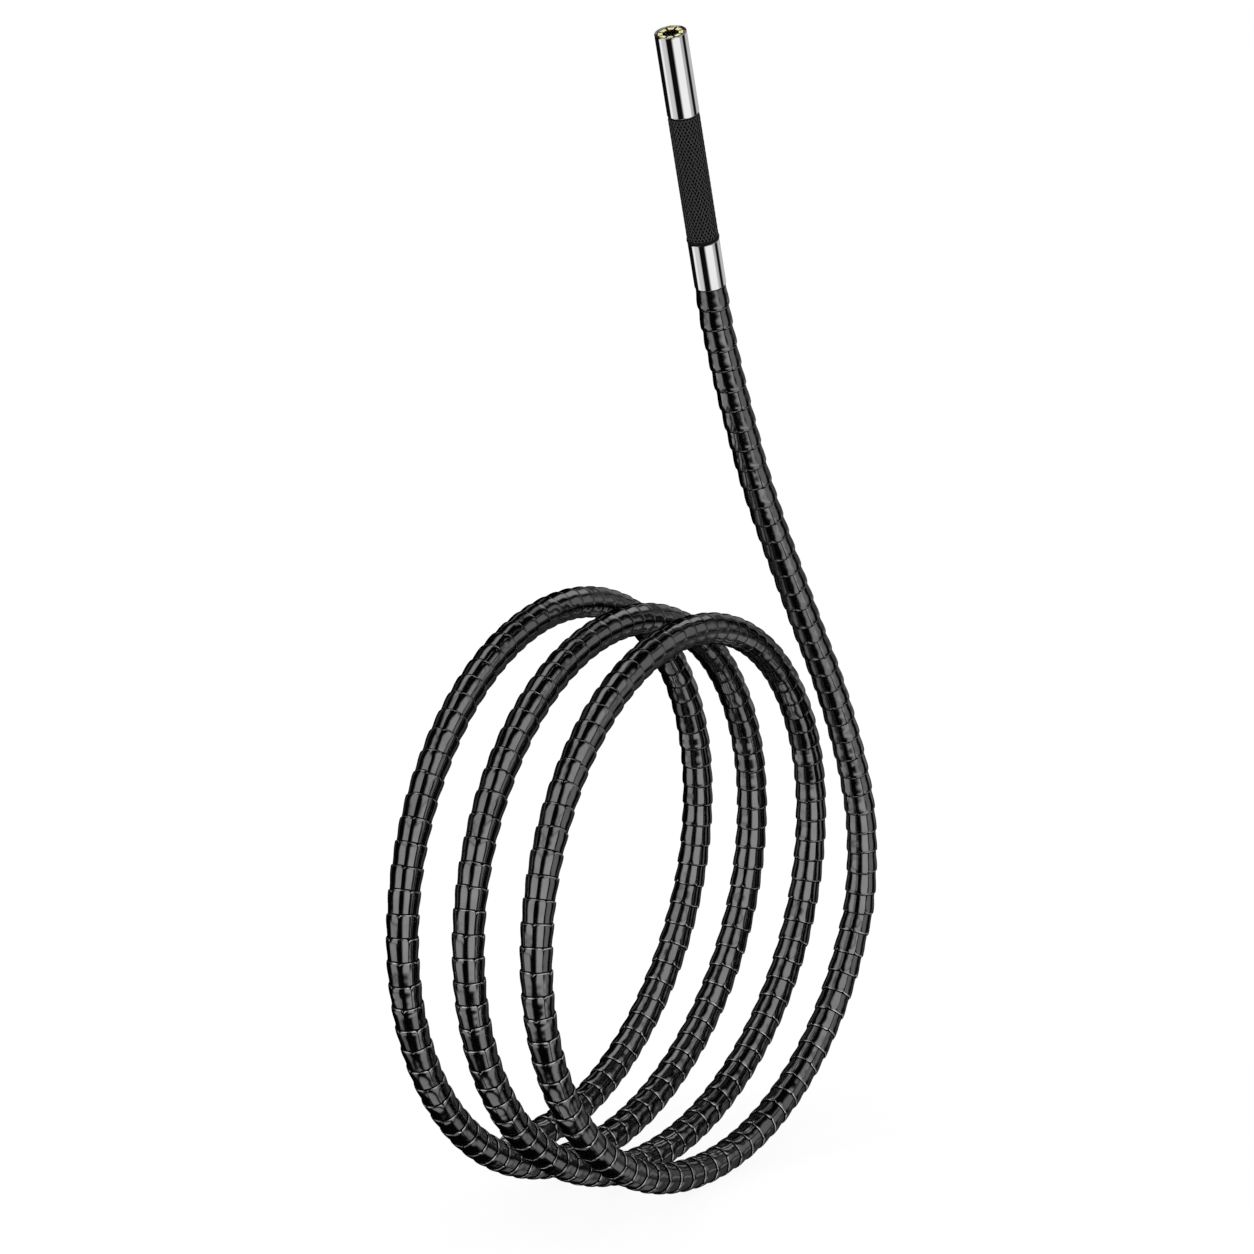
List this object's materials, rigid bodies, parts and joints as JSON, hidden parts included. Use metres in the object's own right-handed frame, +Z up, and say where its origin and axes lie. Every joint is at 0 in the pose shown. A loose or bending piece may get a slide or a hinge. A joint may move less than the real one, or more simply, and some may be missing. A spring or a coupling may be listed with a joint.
{
  "type": "inspection camera probe",
  "caption": "Inspection camera probe: chrome camera head with ring lamps, braided bending section, and a black self-supporting gooseneck coiled upright to a screw connector.",
  "frame": {"origin": "on the surface that the turns stand on, at the middle of the probe's bounding box", "axes": "+Z up; +X along the axis of the turns, from the connector end towards the head end; the turns stand in the YZ plane"},
  "size_m": [0.061, 0.1638, 0.2927],
  "materials": {
    "chrome": "polished chrome plate on steel",
    "gold": "thin gold plating",
    "window_glass": "clear sapphire window",
    "lens_glass": "coated lens glass",
    "black_rubber": "matt black silicone rubber",
    "red_rubber": "soft red silicone seal",
    "black_board": "black solder mask",
    "green_board": "green solder mask",
    "lamp_phosphor": "pale yellow phosphor",
    "sensor_ceramic": "dark sensor package",
    "black_plastic": "black moulded plastic",
    "black_metal": "black anodised metal",
    "steel": "plain stainless steel",
    "nickel": "satin nickel plate",
    "wire": "stranded stainless wire",
    "harness": "silicone-jacketed camera wires",
    "braid": "woven black braid with a slight sheen",
    "gooseneck_black": "black chrome plate over overlapping steel rings",
    "core_jacket": "black cable jacket"
  },
  "bodies": {
    "gooseneck": {"rear_link": "steel", "pull_wire_left": "wire", "pull_wire_right": "wire", "camera_harness": "harness", "rubber_boot": "black_rubber", "braided_sleeve": "braid", "sleeve_bead": "braid", "rear_ferrule": "chrome", "ferrule_spigot": "steel", "gooseneck_riser": "gooseneck_black", "gooseneck_coil": "gooseneck_black", "core_riser": "core_jacket", "core_coil": "core_jacket", "connector_backshell": "black_metal", "plug_shell": "nickel", "plug_insert": "black_plastic", "contact_pins": "gold", "plug_seal": "red_rubber"},
    "bend_link_1": {"link_1": "steel", "hinge_pins_1": "steel"},
    "bend_link_2": {"link_2": "steel", "hinge_pins_2": "steel"},
    "bend_link_3": {"link_3": "steel", "hinge_pins_3": "steel"},
    "bend_link_4": {"link_4": "steel", "hinge_pins_4": "steel"},
    "bend_link_5": {"link_5": "steel", "hinge_pins_5": "steel"},
    "bend_link_6": {"link_6": "steel", "hinge_pins_6": "steel"},
    "camera_head": {"head_barrel": "chrome", "bezel_ring": "gold", "front_window": "window_glass", "window_seal": "black_rubber", "lamp_board": "black_board", "lamp_chips": "lamp_phosphor", "lens_barrel": "black_metal", "lens_front": "lens_glass", "aperture_stop": "black_metal", "lens_spacer": "black_metal", "lens_rear": "lens_glass", "lens_retainer": "black_metal", "infrared_filter": "lens_glass", "sensor_holder": "black_plastic", "image_sensor": "sensor_ceramic", "sensor_board": "green_board", "driver_board": "green_board", "barrel_bulkhead": "steel", "front_link": "steel", "hinge_pins_7": "steel"},
    "connector_nut": {"coupling_nut": "nickel"}
  },
  "joints": [
    {"name": "bend_1", "type": "hinge", "parent": "gooseneck", "child": "bend_link_1", "pos_m": [0.02039, 0.00173, 0.2431], "axis": [-0.0691, 0.9413, 0.3305], "range_deg": [-15, 15]},
    {"name": "bend_2", "type": "hinge", "parent": "bend_link_1", "child": "bend_link_2", "pos_m": [0.02049, 0.00029, 0.24722], "axis": [-0.0691, 0.9413, 0.3305], "range_deg": [-15, 15]},
    {"name": "bend_3", "type": "hinge", "parent": "bend_link_2", "child": "bend_link_3", "pos_m": [0.0206, -0.00115, 0.25134], "axis": [-0.0691, 0.9413, 0.3305], "range_deg": [-15, 15]},
    {"name": "bend_4", "type": "hinge", "parent": "bend_link_3", "child": "bend_link_4", "pos_m": [0.0207, -0.00259, 0.25546], "axis": [-0.0691, 0.9413, 0.3305], "range_deg": [-15, 15]},
    {"name": "bend_5", "type": "hinge", "parent": "bend_link_4", "child": "bend_link_5", "pos_m": [0.02081, -0.00403, 0.25959], "axis": [-0.0691, 0.9413, 0.3305], "range_deg": [-15, 15]},
    {"name": "bend_6", "type": "hinge", "parent": "bend_link_5", "child": "bend_link_6", "pos_m": [0.02092, -0.00547, 0.26371], "axis": [-0.0691, 0.9413, 0.3305], "range_deg": [-15, 15]},
    {"name": "bend_7", "type": "hinge", "parent": "bend_link_6", "child": "camera_head", "pos_m": [0.02102, -0.00691, 0.26783], "axis": [-0.0691, 0.9413, 0.3305], "range_deg": [-15, 15], "deforming": ["braided_sleeve", "rubber_boot", "pull_wire_left", "pull_wire_right", "camera_harness"]},
    {"name": "nut_turn", "type": "hinge", "parent": "gooseneck", "child": "connector_nut", "pos_m": [-0.02732, -0.01086, 0.00454], "axis": [-0.0324, -0.9987, -0.0391], "continuous": true}
  ],
  "couplings": [
    {"joint": "bend_1", "follows": "bend_7", "ratio": 1},
    {"joint": "bend_2", "follows": "bend_7", "ratio": 1},
    {"joint": "bend_3", "follows": "bend_7", "ratio": 1},
    {"joint": "bend_4", "follows": "bend_7", "ratio": 1},
    {"joint": "bend_5", "follows": "bend_7", "ratio": 1},
    {"joint": "bend_6", "follows": "bend_7", "ratio": 1}
  ]
}
